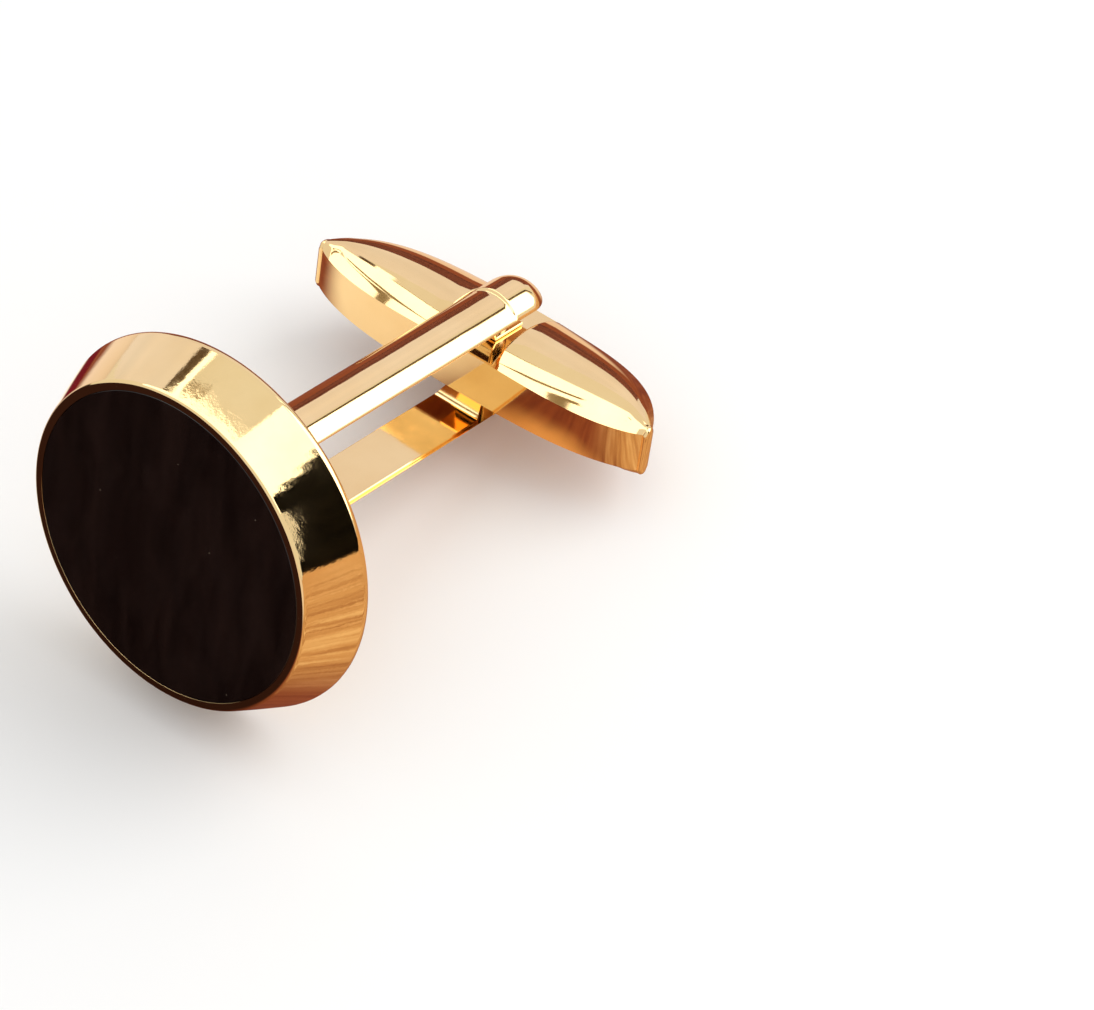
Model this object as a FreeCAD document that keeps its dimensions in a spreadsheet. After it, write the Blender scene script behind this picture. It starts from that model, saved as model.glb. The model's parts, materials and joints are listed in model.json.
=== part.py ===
"""Cufflink: a black inlay in a flared bezel, a two-armed post and a torpedo toggle on a hinge pin.

Each piece is drawn with X from the face along the post, Y along the toggle and Z along the hinge pin.
All pieces are then laid down together, as the cufflink lies on a table: on the bezel's rear edge and
on the end of the lower arm.
"""

import FreeCAD
import Part
import Sketcher
import math
import os

from FreeCAD import Placement, Rotation, Vector

SIZES = {
    # Face
    "inlay_radius": 7.5,
    "inlay_thickness": 1.0,
    "inlay_bevel": 0.12,
    "adhesive_thickness": 0.1,
    "inlay_clearance": 0.04,
    "lip_width": 0.4,
    "lip_round": 0.2,
    "floor_thickness": 0.6,
    "bezel_flare": 1.26,
    "bezel_rear_round": 0.3,
    "rear_rim_width": 1.28,
    "plate_thickness": 0.7,
    "plate_clearance": 0.02,
    "plate_ledge": 0.6,
    # Post
    "pivot_distance": 22.5,
    "arm_width": 2.92,
    "arm_crown": 0.78,
    "web_thickness": 1.2,
    "web_corner": 1.1,
    "end_raise": 0.24,
    "end_reach": 0.45,
    "end_extension": 0.95,
    "foot_rivet_radius": 0.7,
    "foot_rivet_head_radius": 1.15,
    "foot_rivet_head_height": 0.4,
    "foot_rivet_tail_height": 0.3,
    "foot_rivet_tail_clearance": 0.4,
    # Spring
    "spring_thickness": 0.15,
    "spring_width": 2.7,
    "spring_bend": 0.7,
    "step_length": 0.5,
    "pad_reach": 1.0,
    "ramp_pad_reach": 1.23,
    "pad_half_width": 0.8,
    "pad_clearance": 0.04,
    # Toggle
    "toggle_half_length": 10.0,
    "toggle_half_width": 2.55,
    "toggle_tip_lead": 0.9,
    "toggle_flat_half_height": 1.2,
    "toggle_crown": 0.95,
    "toggle_bevel": 0.15,
    "swing_clearance": 0.18,
    "neck_half_length": 1.8,
    "lower_neck_half_length": 2.5,
    "neck_half_height": 1.25,
    # Hinge
    "pin_radius": 0.6,
    "pin_clearance": 0.03,
    "pin_depth": 0.6,
    # Cutting tools
    "overrun": 1.0,
}

# Toggle sections from the middle to the tip: place along the half length, width, and how far the
# section lies in front of the pivot.
TOGGLE_STATION_SHARES = (
    (0.0, 1.0, 0.0),
    (0.3, 0.996, 0.001),
    (0.5, 0.962, 0.016),
    (0.65, 0.876, 0.075),
    (0.8, 0.678, 0.262),
    (0.9, 0.437, 0.531),
    (0.96, 0.219, 0.783),
    (1.0, 0.06, 1.0),
)

ZERO_FORMULA = "0"
HALF_TURN_DEGREES = 180


class Size:
    """A length: its number, and the sheet formula that gives it."""

    def __init__(self, value, formula):
        self.value = value
        self.formula = formula

    def __add__(self, other):
        return Size(self.value + other.value, f"({self.formula} + {other.formula})")

    def __sub__(self, other):
        return Size(self.value - other.value, f"({self.formula} - {other.formula})")

    def __neg__(self):
        return Size(-self.value, f"(-1 * {self.formula})")

    def __mul__(self, share):
        return Size(self.value * share, f"({self.formula} * {share})")

    def over(self, other):
        """The square of this length divided by another."""
        value = self.value * self.value / other.value
        return Size(value, f"({self.formula} * {self.formula} / {other.formula})")


ZERO = Size(0.0, ZERO_FORMULA)


def make_sheet(doc):
    """Writes the sizes into a sheet and returns them by name."""
    sheet = doc.addObject("Spreadsheet::Sheet", "sizes")
    named = {}
    for row, (alias, value) in enumerate(SIZES.items(), start=1):
        sheet.set(f"A{row}", alias)
        sheet.set(f"B{row}", str(value))
        sheet.setAlias(f"B{row}", alias)
        named[alias] = Size(value, f"sizes.{alias}")
    doc.recompute()
    return named


def arc_radius(half_chord, rise):
    """Radius of the arc that rises by the given height over a chord."""
    return (half_chord.over(rise) + rise) * 0.5


def new_body(doc, label):
    body = doc.addObject("PartDesign::Body", label)
    body.Label = label
    return body


def new_sketch(body, name, plane, offset=ZERO):
    """Makes a sketch on one of the body's own origin planes, moved along its normal."""
    sketch = body.newObject("Sketcher::SketchObject", name)
    support = next(f for f in body.Origin.OriginFeatures if f.Role == plane)
    sketch.AttachmentSupport = [(support, "")]
    sketch.MapMode = "FlatFace"
    sketch.setExpression("AttachmentOffset.Base.z", offset.formula)
    return sketch


def bind(sketch, kind, geometry, point, size):
    """Places one coordinate of a sketch point, from the sheet."""
    rule = Sketcher.Constraint(kind, -1, 1, geometry, point, size.value)
    index = sketch.addConstraint(rule)
    sketch.setExpression(f"Constraints[{index}]", size.formula)


def draw_outline(sketch, corners):
    """Draws a closed outline anticlockwise.

    A corner is its two coordinates. A third entry makes the edge that leaves it an arc: the arc's
    centre, and 1 to bulge outwards or -1 to curve inwards.
    """
    edges = []
    for corner, following in zip(corners, corners[1:] + corners[:1]):
        start = Vector(corner[0].value, corner[1].value, 0)
        end = Vector(following[0].value, following[1].value, 0)
        if len(corner) == 2:
            index = sketch.addGeometry(Part.LineSegment(start, end), False)
            edges.append((index, 1, 2))
            continue
        centre, turn = corner[2]
        middle = Vector(centre[0].value, centre[1].value, 0)
        first, last = (start, end) if turn > 0 else (end, start)
        angles = [math.atan2(p.y - middle.y, p.x - middle.x) for p in (first, last)]
        circle = Part.Circle(middle, Vector(0, 0, 1), (start - middle).Length)
        index = sketch.addGeometry(Part.ArcOfCircle(circle, *angles), False)
        edges.append((index, 1, 2) if turn > 0 else (index, 2, 1))
        chord = end - start
        if abs(chord.y) > abs(chord.x):
            bind(sketch, "DistanceX", index, 3, centre[0])
        else:
            bind(sketch, "DistanceY", index, 3, centre[1])
    for corner, edge, previous in zip(corners, edges, edges[-1:] + edges[:-1]):
        index, first, _ = edge
        sketch.addConstraint(Sketcher.Constraint("Coincident", previous[0], previous[2], index, first))
        bind(sketch, "DistanceX", index, first, corner[0])
        bind(sketch, "DistanceY", index, first, corner[1])


def draw_circle(sketch, centre, radius):
    circle = Part.Circle(Vector(centre[0].value, centre[1].value, 0), Vector(0, 0, 1), radius.value)
    index = sketch.addGeometry(circle, False)
    bind(sketch, "DistanceX", index, 3, centre[0])
    bind(sketch, "DistanceY", index, 3, centre[1])
    rule = sketch.addConstraint(Sketcher.Constraint("Radius", index, radius.value))
    sketch.setExpression(f"Constraints[{rule}]", radius.formula)


def turn_profile(body, corners):
    """Revolves an outline of places along X and radii, about the X axis."""
    sketch = new_sketch(body, body.Label + "_profile", "XY_Plane")
    draw_outline(sketch, corners)
    solid = body.newObject("PartDesign::Revolution", body.Label + "_turned")
    solid.Profile = sketch
    solid.ReferenceAxis = (sketch, ["H_Axis"])
    body.Tip = solid
    return solid


def extrude(body, kind, sketch, length):
    """Pads or pockets a sketch by the given length, half to each side of its plane."""
    feature = body.newObject(f"PartDesign::{kind}", sketch.Label + "_" + kind.lower())
    feature.Profile = sketch
    feature.SideType = "Symmetric"
    feature.setExpression("Length", length.formula)
    body.Tip = feature
    return feature


def round_edges(body, feature, name, radius, chosen):
    """Fillets the edges of a feature that a test picks out."""
    body.Document.recompute()
    names = [f"Edge{i}" for i, edge in enumerate(feature.Shape.Edges, start=1) if chosen(edge)]
    if not names:
        raise RuntimeError(f"{name} found no edge to round")
    fillet = body.newObject("PartDesign::Fillet", name)
    fillet.Base = (feature, names)
    fillet.setExpression("Radius", radius.formula)
    body.Tip = fillet
    return fillet


def ring_at(place, radius):
    """A test for the circular edge about the X axis at one place and radius."""

    def chosen(edge):
        curve = edge.Curve
        return (
            isinstance(curve, Part.Circle)
            and abs(curve.Center.x - place.value) < Part.Precision.confusion()
            and abs(curve.Radius - radius.value) < Part.Precision.confusion()
        )

    return chosen


def make_bezel(doc, s):
    """Turned cup: front lip, tray for the inlay, flared side and a rear seat for the back plate."""
    body = new_body(doc, "bezel")
    ledge_radius = s["seat_radius"] - s["plate_ledge"]
    floor_back = s["floor_front"] + s["floor_thickness"]
    turned = turn_profile(
        body,
        [
            (s["floor_front"], ZERO),
            (floor_back, ZERO),
            (floor_back, ledge_radius),
            (s["plate_front"], ledge_radius),
            (s["plate_front"], s["seat_radius"]),
            (s["bezel_depth"], s["seat_radius"]),
            (s["bezel_depth"], s["bezel_rear_radius"]),
            (ZERO, s["lip_radius"]),
            (ZERO, s["tray_radius"]),
            (s["floor_front"], s["tray_radius"]),
        ],
    )
    rear_edge = ring_at(s["bezel_depth"], s["bezel_rear_radius"])
    rear = round_edges(body, turned, "bezel_rear_fillet", s["bezel_rear_round"], rear_edge)
    round_edges(body, rear, "bezel_lip_fillet", s["lip_round"], ring_at(ZERO, s["lip_radius"]))
    return body


def make_inlay(doc, s):
    """Black disc with a fine bevel round its front edge."""
    body = new_body(doc, "inlay")
    turn_profile(
        body,
        [
            (ZERO, ZERO),
            (s["inlay_thickness"], ZERO),
            (s["inlay_thickness"], s["inlay_radius"]),
            (s["inlay_bevel"], s["inlay_radius"]),
            (ZERO, s["inlay_radius"] - s["inlay_bevel"]),
        ],
    )
    return body


def make_adhesive(doc, s):
    """Bonding film between the inlay and the tray's floor."""
    body = new_body(doc, "inlay_adhesive")
    turn_profile(
        body,
        [
            (s["inlay_thickness"], ZERO),
            (s["floor_front"], ZERO),
            (s["floor_front"], s["inlay_radius"]),
            (s["inlay_thickness"], s["inlay_radius"]),
        ],
    )
    return body


def make_back_plate(doc, s):
    """Disc that closes the bezel's rear, with the hole for the foot rivet."""
    body = new_body(doc, "back_plate")
    turn_profile(
        body,
        [
            (s["plate_front"], s["foot_rivet_radius"]),
            (s["bezel_depth"], s["foot_rivet_radius"]),
            (s["bezel_depth"], s["plate_radius"]),
            (s["plate_front"], s["plate_radius"]),
        ],
    )
    return body


def make_foot_rivet(doc, s):
    """Domed rivet through the spring's foot, the fork's web and the back plate."""
    body = new_body(doc, "foot_rivet")
    seat = s["web_back"] + s["spring_thickness"]
    top = seat + s["foot_rivet_head_height"]
    dome = arc_radius(s["foot_rivet_head_radius"], s["foot_rivet_head_height"])
    tail = s["plate_front"] - s["foot_rivet_tail_height"]
    turn_profile(
        body,
        [
            (tail, ZERO),
            (top, ZERO, ((top - dome, ZERO), 1)),
            (seat, s["foot_rivet_head_radius"]),
            (seat, s["foot_rivet_radius"]),
            (s["plate_front"], s["foot_rivet_radius"]),
            (s["plate_front"], s["foot_rivet_head_radius"]),
            (tail, s["foot_rivet_head_radius"]),
        ],
    )
    return body


def crowned_section(half_width, flat, crown):
    """Outline with straight sides and an arc above and below."""
    radius = arc_radius(half_width, crown)
    upper = flat + crown - radius
    return [
        (-half_width, -flat, ((ZERO, -upper), 1)),
        (half_width, -flat),
        (half_width, flat, ((ZERO, upper), 1)),
        (-half_width, flat),
    ]


def bevelled_section(half_width, flat, crown, bevel):
    """The same outline with a bevel between each straight side and the arcs."""
    inner = half_width - bevel
    lower, right, upper, left = crowned_section(inner, flat + bevel, crown - bevel)
    return [
        lower,
        right,
        (half_width, -flat),
        (half_width, flat),
        upper,
        left,
        (-half_width, flat),
        (-half_width, -flat),
    ]


def moved(section, shift):
    """An outline shifted along its first coordinate."""
    result = []
    for corner in section:
        place = (corner[0] + shift, corner[1])
        if len(corner) == 2:
            result.append(place)
            continue
        centre, turn = corner[2]
        result.append((*place, ((centre[0] + shift, centre[1]), turn)))
    return result


def trim_to_crown(body, name, s, crown, place, length):
    """Cuts the arms back to a half-round section, over a length that ends at the given place."""
    reach = s["arm_half_width"] + s["overrun"]
    top = s["fork_half_gap"] + s["arm_crown"] + s["end_raise"] + s["overrun"]
    sketch = new_sketch(body, name, "YZ_Plane", place)
    draw_outline(sketch, [(-reach, -top), (reach, -top), (reach, top), (-reach, top)])
    draw_outline(sketch, crowned_section(s["arm_half_width"], s["fork_half_gap"], crown))
    pocket = body.newObject("PartDesign::Pocket", name + "_pocket")
    pocket.Profile = sketch
    pocket.setExpression("Length", length.formula)
    body.Tip = pocket


def dome_ends(body, s, centre, crown):
    """Rounds the arms' ends to half domes that carry on the crown."""
    sketch = new_sketch(body, "fork_end_domes", "XZ_Plane")
    sketch.setExpression("AttachmentOffset.Base.x", centre.formula)
    half = s["arm_half_width"]
    gap = s["fork_half_gap"]
    top = gap + crown
    middle = top - arc_radius(half, crown)
    past = half + s["overrun"]
    clear = top + s["overrun"]
    upper = [(half, gap), (past, gap), (past, clear), (ZERO, clear), (ZERO, top, ((ZERO, middle), -1))]
    lower = [(half, -gap, ((ZERO, -middle), -1)), (ZERO, -top), (ZERO, -clear), (past, -clear), (past, -gap)]
    draw_outline(sketch, upper)
    draw_outline(sketch, lower)
    groove = body.newObject("PartDesign::Groove", "fork_end_dome_cut")
    groove.Profile = sketch
    groove.ReferenceAxis = (sketch, ["V_Axis"])
    groove.Angle = HALF_TURN_DEGREES
    groove.Midplane = True
    body.Tip = groove


def make_fork(doc, s):
    """Two half-round arms on a web, with raised domed ends and blind holes for the hinge pin."""
    body = new_body(doc, "fork")
    root = s["bezel_depth"]
    pivot = s["pivot_distance"]
    centre = pivot + s["end_extension"]
    half = s["arm_half_width"]
    top = s["fork_half_gap"] + s["arm_crown"] + s["end_raise"]

    plan = new_sketch(body, "fork_plan", "XY_Plane")
    draw_outline(
        plan,
        [(root, -half), (centre, -half, ((centre, ZERO), 1)), (centre, half), (root, half)],
    )
    blank = extrude(body, "Pad", plan, top * 2)

    def web_corner(edge):
        box = edge.BoundBox
        along_width = box.YLength > half.value
        at_root = abs(box.Center.x - root.value) < Part.Precision.confusion()
        return along_width and at_root

    round_edges(body, blank, "fork_web_corners", s["web_corner"], web_corner)

    gap = new_sketch(body, "fork_gap", "XZ_Plane")
    bend = s["spring_bend"]
    inside = s["fork_half_gap"]
    past = centre + half + s["overrun"]
    draw_outline(
        gap,
        [
            (s["web_back"] + bend, -inside),
            (past, -inside),
            (past, inside),
            (s["web_back"] + bend, inside, ((s["web_back"] + bend, inside - bend), 1)),
            (s["web_back"], inside - bend),
            (s["web_back"], bend - inside, ((s["web_back"] + bend, bend - inside), 1)),
        ],
    )
    extrude(body, "Pocket", gap, s["arm_width"] * 2)

    step = pivot - s["end_reach"]
    end_length = past - step
    trim_to_crown(body, "fork_arm_crown", s, s["arm_crown"], step, step)
    end_crown = s["arm_crown"] + s["end_raise"]
    trim_to_crown(body, "fork_end_crown", s, end_crown, step + end_length, end_length)
    dome_ends(body, s, centre, end_crown)

    holes = new_sketch(body, "fork_pin_holes", "XY_Plane")
    draw_circle(holes, (pivot, ZERO), s["pin_radius"])
    extrude(body, "Pocket", holes, s["pin_half_length"] * 2)

    rivet_hole = new_sketch(body, "fork_rivet_hole", "YZ_Plane", root + s["web_thickness"])
    draw_circle(rivet_hole, (ZERO, ZERO), s["foot_rivet_radius"])
    extrude(body, "Pocket", rivet_hole, s["web_thickness"] * 3)
    return body


def mitre_share(rise, run):
    """How far a bend's outer corner shifts along the strip, as a share of the thickness."""
    return math.tan(math.atan2(rise.value, run.value) / 2)


def make_spring(doc, s):
    """Strip bent to a U inside the fork. Its upper end steps, and its lower end ramps, to pads on the neck."""
    body = new_body(doc, "detent_spring")
    thick = s["spring_thickness"]
    bend = s["spring_bend"]
    foot = s["web_back"]
    outer = s["fork_half_gap"]
    inner = outer - thick
    pad_inner = s["neck_half_height"] + s["pad_clearance"]
    pad_outer = pad_inner + thick
    rise = inner - pad_inner
    step_end = s["pivot_distance"] - s["pad_reach"]
    step_start = step_end - s["step_length"]
    ramp_end = s["pivot_distance"] - s["ramp_pad_reach"]
    ramp_start = ramp_end - rise
    step_mitre = thick * mitre_share(rise, s["step_length"])
    ramp_mitre = thick * mitre_share(rise, rise)
    end = s["pivot_distance"] + s["pad_reach"]
    turn_x = foot + bend

    upper = [
        (end, pad_inner),
        (end, pad_outer),
        (step_end + step_mitre, pad_outer),
        (step_start + step_mitre, outer),
        (turn_x, outer, ((turn_x, outer - bend), 1)),
        (foot, outer - bend),
    ]
    upper_inside = [
        (foot + thick, outer - bend, ((turn_x, outer - bend), -1)),
        (turn_x, inner),
        (step_start, inner),
        (step_end, pad_inner),
    ]
    lower = [
        (foot, bend - outer, ((turn_x, bend - outer), 1)),
        (turn_x, -outer),
        (ramp_start + ramp_mitre, -outer),
        (ramp_end + ramp_mitre, -pad_outer),
        (end, -pad_outer),
        (end, -pad_inner),
    ]
    lower_inside = [
        (ramp_end, -pad_inner),
        (ramp_start, -inner),
        (turn_x, -inner, ((turn_x, bend - outer), -1)),
        (foot + thick, bend - outer),
    ]
    strip = new_sketch(body, "spring_strip", "XZ_Plane")
    draw_outline(strip, upper + lower + lower_inside + upper_inside)
    extrude(body, "Pad", strip, s["spring_width"])

    taper = new_sketch(body, "spring_taper", "XY_Plane")
    half = s["spring_width"] * 0.5
    narrow = s["pad_half_width"]
    clear = half + s["overrun"]
    past = end + s["overrun"]
    draw_outline(
        taper, [(ramp_start, half), (ramp_end, narrow), (past, narrow), (past, clear), (ramp_start, clear)]
    )
    draw_outline(
        taper,
        [(ramp_start, -clear), (past, -clear), (past, -narrow), (ramp_end, -narrow), (ramp_start, -half)],
    )
    extrude(body, "Pocket", taper, outer * 3)

    holes = new_sketch(body, "spring_pin_holes", "XY_Plane")
    draw_circle(holes, (s["pivot_distance"], ZERO), s["pin_radius"] + s["pin_clearance"])
    extrude(body, "Pocket", holes, outer * 2)

    rivet_hole = new_sketch(body, "spring_rivet_hole", "YZ_Plane", foot)
    draw_circle(rivet_hole, (ZERO, ZERO), s["foot_rivet_radius"])
    extrude(body, "Pocket", rivet_hole, thick * 3)
    return body


def make_toggle(doc, s):
    """Torpedo lofted along Y, with a flat neck above and a longer one below, and the hinge bore."""
    body = new_body(doc, "toggle")
    stations = [(-place, wide, lead) for place, wide, lead in TOGGLE_STATION_SHARES[:0:-1]]
    stations += list(TOGGLE_STATION_SHARES)
    sections = []
    for number, (place, wide, lead) in enumerate(stations, start=1):
        along = s["toggle_half_length"] * place
        sketch = new_sketch(body, f"toggle_section_{number}", "XZ_Plane", -along)
        section = bevelled_section(
            s["toggle_half_width"] * wide,
            s["toggle_flat_half_height"],
            s["toggle_crown"] * wide,
            s["toggle_bevel"] * wide,
        )
        draw_outline(sketch, moved(section, -s["toggle_tip_lead"] * lead))
        sections.append(sketch)
    loft = body.newObject("PartDesign::AdditiveLoft", "toggle_loft")
    loft.Profile = sections[0]
    loft.Sections = sections[1:]
    body.Tip = loft

    neck = new_sketch(body, "toggle_neck", "YZ_Plane")
    reach = s["neck_half_length"]
    below = s["lower_neck_half_length"]
    floor = s["neck_half_height"]
    top = s["toggle_half_height"] + s["overrun"]
    draw_outline(neck, [(-reach, floor), (reach, floor), (reach, top), (-reach, top)])
    draw_outline(neck, [(-below, -top), (below, -top), (below, -floor), (-below, -floor)])
    extrude(body, "Pocket", neck, s["toggle_half_width"] * 3)

    bore = new_sketch(body, "toggle_bore", "XY_Plane")
    draw_circle(bore, (ZERO, ZERO), s["pin_radius"] + s["pin_clearance"])
    extrude(body, "Pocket", bore, s["toggle_half_height"] * 3)
    return body


def make_pin(doc, s):
    """Hinge pin, blind in both arms."""
    body = new_body(doc, "hinge_pin")
    sketch = new_sketch(body, "pin_section", "XY_Plane")
    draw_circle(sketch, (s["pivot_distance"], ZERO), s["pin_radius"])
    extrude(body, "Pad", sketch, s["pin_half_length"] * 2)
    return body


def add_derived(s):
    """Adds the places and sizes that follow from how the pieces fit together."""
    s["tray_radius"] = s["inlay_radius"] + s["inlay_clearance"]
    s["floor_front"] = s["inlay_thickness"] + s["adhesive_thickness"]
    s["lip_radius"] = s["tray_radius"] + s["lip_width"]
    s["bezel_rear_radius"] = s["lip_radius"] + s["bezel_flare"]
    s["seat_radius"] = s["bezel_rear_radius"] - s["rear_rim_width"]
    s["plate_radius"] = s["seat_radius"] - s["plate_clearance"]
    tail_room = s["foot_rivet_tail_height"] + s["foot_rivet_tail_clearance"]
    s["plate_front"] = s["floor_front"] + s["floor_thickness"] + tail_room
    s["bezel_depth"] = s["plate_front"] + s["plate_thickness"]
    s["web_back"] = s["bezel_depth"] + s["web_thickness"]
    s["arm_half_width"] = s["arm_width"] * 0.5
    s["toggle_half_height"] = s["toggle_flat_half_height"] + s["toggle_crown"]
    s["fork_half_gap"] = s["toggle_half_height"] + s["swing_clearance"] + s["spring_thickness"]
    s["pin_half_length"] = s["fork_half_gap"] + s["pin_depth"]


def lying_slope(s):
    """Slope of the post, in degrees, when the rear edge and the lower arm's dome touch a table."""
    edge_radius = s["bezel_rear_round"].value
    edge_x = s["bezel_depth"].value - edge_radius
    edge_z = edge_radius - s["bezel_rear_radius"].value
    crown = s["arm_crown"] + s["end_raise"]
    dome_radius = arc_radius(s["arm_half_width"], crown).value
    dome_x = (s["pivot_distance"] + s["end_extension"]).value
    dome_z = dome_radius - (s["fork_half_gap"] + crown).value
    reach = math.hypot(dome_x - edge_x, dome_z - edge_z)
    to_dome = math.atan2(dome_z - edge_z, dome_x - edge_x)
    return math.degrees(to_dome + math.asin((edge_radius - dome_radius) / reach))


def lay_down(pieces, slope):
    """Turns all pieces to the slope and stands them on the origin, centred over it."""
    turn = Placement(Vector(0, 0, 0), Rotation(Vector(0, 1, 0), slope))
    whole = Part.Compound([piece.Shape for piece in pieces])
    whole.Placement = turn
    box = whole.optimalBoundingBox(False, False)
    shift = Vector(-box.Center.x, -box.Center.y, -box.ZMin)
    return Placement(shift, turn.Rotation)


def check(doc, pieces):
    for item in doc.Objects:
        faults = {"Invalid", "Error"} & set(item.State)
        if faults:
            raise RuntimeError(f"{item.Label} is {', '.join(sorted(faults))}")
    for piece in pieces:
        shape = piece.Shape
        if shape.isNull() or not shape.isValid() or len(shape.Solids) != 1:
            raise RuntimeError(f"{piece.Label} has no single valid solid")


def main():
    doc = FreeCAD.newDocument("cufflink")
    s = make_sheet(doc)
    add_derived(s)
    pieces = [
        make_bezel(doc, s),
        make_inlay(doc, s),
        make_adhesive(doc, s),
        make_back_plate(doc, s),
        make_fork(doc, s),
        make_foot_rivet(doc, s),
        make_spring(doc, s),
        make_pin(doc, s),
    ]
    toggle = make_toggle(doc, s)
    doc.recompute()
    toggle.Placement = Placement(Vector(s["pivot_distance"].value, 0, 0), Rotation())
    pieces.append(toggle)
    check(doc, pieces)

    laid = lay_down(pieces, lying_slope(s))
    for piece in pieces:
        piece.Placement = laid.multiply(piece.Placement)
    doc.recompute()
    check(doc, pieces)

    os.makedirs("parts", exist_ok=True)
    for piece in pieces:
        piece.Shape.exportStep(f"parts/{piece.Label}.step")
        print(f"{piece.Label}: {piece.Shape.Volume:.2f} mm3")
    print("post slope, degrees:", round(lying_slope(s), 4))
    print("laid at:", laid.Base)


main()
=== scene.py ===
"""Cufflink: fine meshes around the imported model, procedural materials and soft studio light.

Shapes are drawn in millimetres in the part's own build axes: X from the face along the post, Y along
the toggle and Z along the hinge pin. One matrix, read from the hinge, lays them where the model lies.
"""
import json
import math

import bmesh
import bpy
from mathutils import Matrix, Vector


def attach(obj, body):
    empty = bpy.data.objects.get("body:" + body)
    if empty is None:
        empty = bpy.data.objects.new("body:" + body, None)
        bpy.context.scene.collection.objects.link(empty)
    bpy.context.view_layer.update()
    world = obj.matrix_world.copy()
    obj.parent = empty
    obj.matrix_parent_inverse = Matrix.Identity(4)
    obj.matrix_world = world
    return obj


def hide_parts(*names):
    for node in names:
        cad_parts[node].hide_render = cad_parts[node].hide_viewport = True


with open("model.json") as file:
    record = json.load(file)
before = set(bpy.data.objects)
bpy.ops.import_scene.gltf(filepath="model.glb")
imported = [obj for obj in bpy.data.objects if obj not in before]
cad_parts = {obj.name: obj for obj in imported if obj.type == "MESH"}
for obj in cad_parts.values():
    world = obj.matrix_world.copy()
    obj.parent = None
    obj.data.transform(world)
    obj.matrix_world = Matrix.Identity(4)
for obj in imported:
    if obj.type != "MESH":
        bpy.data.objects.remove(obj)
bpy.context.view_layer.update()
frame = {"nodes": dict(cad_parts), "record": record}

MM = 0.001
TURN = 2 * math.pi
QUARTER_TURN = math.pi / 2

# Sizes of the solids, in millimetres
INLAY_THICKNESS = 1.0
TRAY_RADIUS = 7.54
TRAY_FLOOR = 1.1
FLOOR_BACK = 1.7
LIP_RADIUS = 7.94
LIP_ROUND = 0.2
REAR_RADIUS = 9.2
REAR_ROUND = 0.3
DEPTH = 3.1
PLATE_FRONT = 2.4
SEAT_RADIUS = 7.92
LEDGE_RADIUS = 7.32
PIVOT = 22.5
ARM_HALF_WIDTH = 1.46
ARM_CROWN = 0.78
END_REACH = 0.45
END_CENTRE = 23.45
FORK_HALF_GAP = 2.48
WEB_BACK = 4.3
WEB_THICKNESS = 1.2
BEND = 0.7
SPRING_THICKNESS = 0.15
SPRING_HALF_WIDTH = 1.35
STEP_RUN = 0.5
PAD_REACH = 1.0
RAMP_PAD_REACH = 1.23
PAD_HALF_WIDTH = 0.8
PAD_INNER = 1.29
TOGGLE_HALF_LENGTH = 10.0
TOGGLE_HALF_WIDTH = 2.55
TOGGLE_FLAT = 1.2
TOGGLE_CROWN = 0.95
NECK_HALF_LENGTH = 1.8
LOWER_NECK_HALF_LENGTH = 2.5
NECK_HALF_HEIGHT = 1.25

# Edges that are drawn finer than in the solids, in millimetres
INLAY_RADIUS = 7.53
INLAY_BEVEL = 0.03
INLAY_EDGE_ROUND = INLAY_BEVEL / 3
LIP_INNER_ROUND = 0.01
SIDE_BOW = 0.02
END_RAISE = 0.16
STEP_LENGTH = 0.14

# Fineness of the meshes: lengths in millimetres
RING_STEPS = 224
ARC_STEPS = 8
SUPPORT = 0.04
MERGE_DISTANCE = 1e-4
SHARP_DEGREES = 32


# Placing and meshing

def build_axes():
    """Matrix from build millimetres to the row frame, from where the hinge is."""
    hinge = frame["record"]["behaviour"]["joints"][0]
    pin = Vector(hinge["axis"]).normalized()
    post = Vector((pin.z, 0, -pin.x))
    origin = Vector(hinge["pos_m"]) - post * PIVOT * MM
    matrix = Matrix((post * MM, Vector((0, 1, 0)) * MM, pin * MM)).transposed().to_4x4()
    matrix.translation = origin
    return matrix


LAID = build_axes()


def add_piece(name, points, faces, material, body, slot, node, sharp_degrees=SHARP_DEGREES):
    """Makes a smooth closed mesh from build points, on a body, in place of a solid."""
    mesh = bpy.data.meshes.new(name)
    mesh.from_pydata([LAID @ Vector(p) for p in points], [], faces)
    work = bmesh.new()
    work.from_mesh(mesh)
    bmesh.ops.remove_doubles(work, verts=work.verts, dist=MERGE_DISTANCE * MM)
    bmesh.ops.dissolve_degenerate(work, edges=work.edges, dist=MERGE_DISTANCE * MM)
    bmesh.ops.recalc_face_normals(work, faces=work.faces)
    work.to_mesh(mesh)
    work.free()
    mesh.polygons.foreach_set("use_smooth", [True] * len(mesh.polygons))
    mesh.set_sharp_from_angle(angle=math.radians(sharp_degrees))
    mesh.materials.append(material)
    piece = bpy.data.objects.new(name, mesh)
    bpy.context.collection.objects.link(piece)
    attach(piece, body)
    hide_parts(node)


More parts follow.
